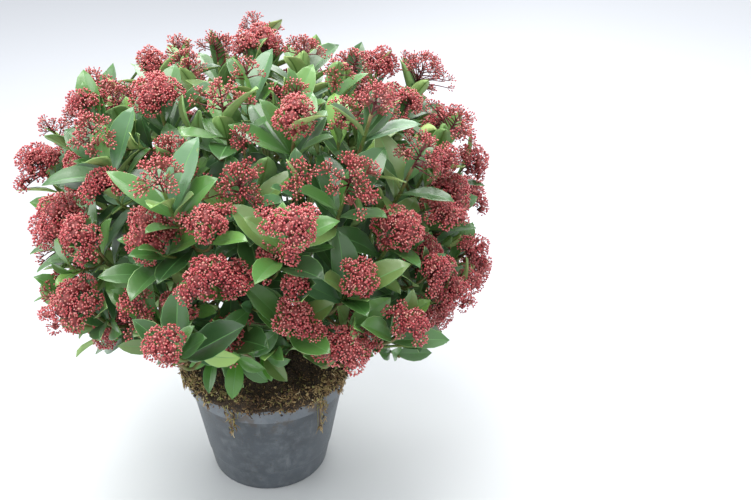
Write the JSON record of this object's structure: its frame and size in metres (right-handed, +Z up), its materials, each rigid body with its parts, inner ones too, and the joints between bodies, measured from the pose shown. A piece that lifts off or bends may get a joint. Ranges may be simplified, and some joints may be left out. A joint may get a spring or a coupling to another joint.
{
  "type": "potted flowering shrub, skimmia",
  "caption": "Round evergreen shrub in winter bud, with domed red bud panicles over rings of leaves, growing in a tapered nursery pot.",
  "frame": {"origin": "middle of the flat underside of the pot", "axes": "+Z up along the pot's axis; the view that the plant is usually seen from looks along +Y"},
  "size_m": [0.6354, 0.6636, 0.6507],
  "materials": {
    "pot_plastic": "satin moulded polypropylene, dusty",
    "peat_and_moss": "rough and crumbly",
    "bark": "matte, finely furrowed",
    "foliage": "glossy leaves and matte red buds"
  },
  "bodies": {
    "root": {"pot": "pot_plastic", "root_ball": "peat_and_moss", "main_stem": "bark", "bough_1": "bark", "bough_2": "bark", "bough_3": "bark", "bough_4": "bark", "bough_5": "bark", "bough_6": "bark", "bough_7": "bark", "bough_8": "bark", "bough_9": "bark", "bough_10": "bark", "bough_11": "bark", "bough_12": "bark", "bough_13": "bark", "bough_14": "bark", "foliage_1": "foliage", "foliage_2": "foliage", "foliage_3": "foliage", "foliage_4": "foliage", "foliage_5": "foliage", "foliage_6": "foliage", "foliage_7": "foliage", "foliage_8": "foliage", "foliage_9": "foliage", "foliage_10": "foliage", "foliage_11": "foliage", "foliage_12": "foliage", "foliage_13": "foliage", "foliage_14": "foliage"}
  },
  "joints": []
}
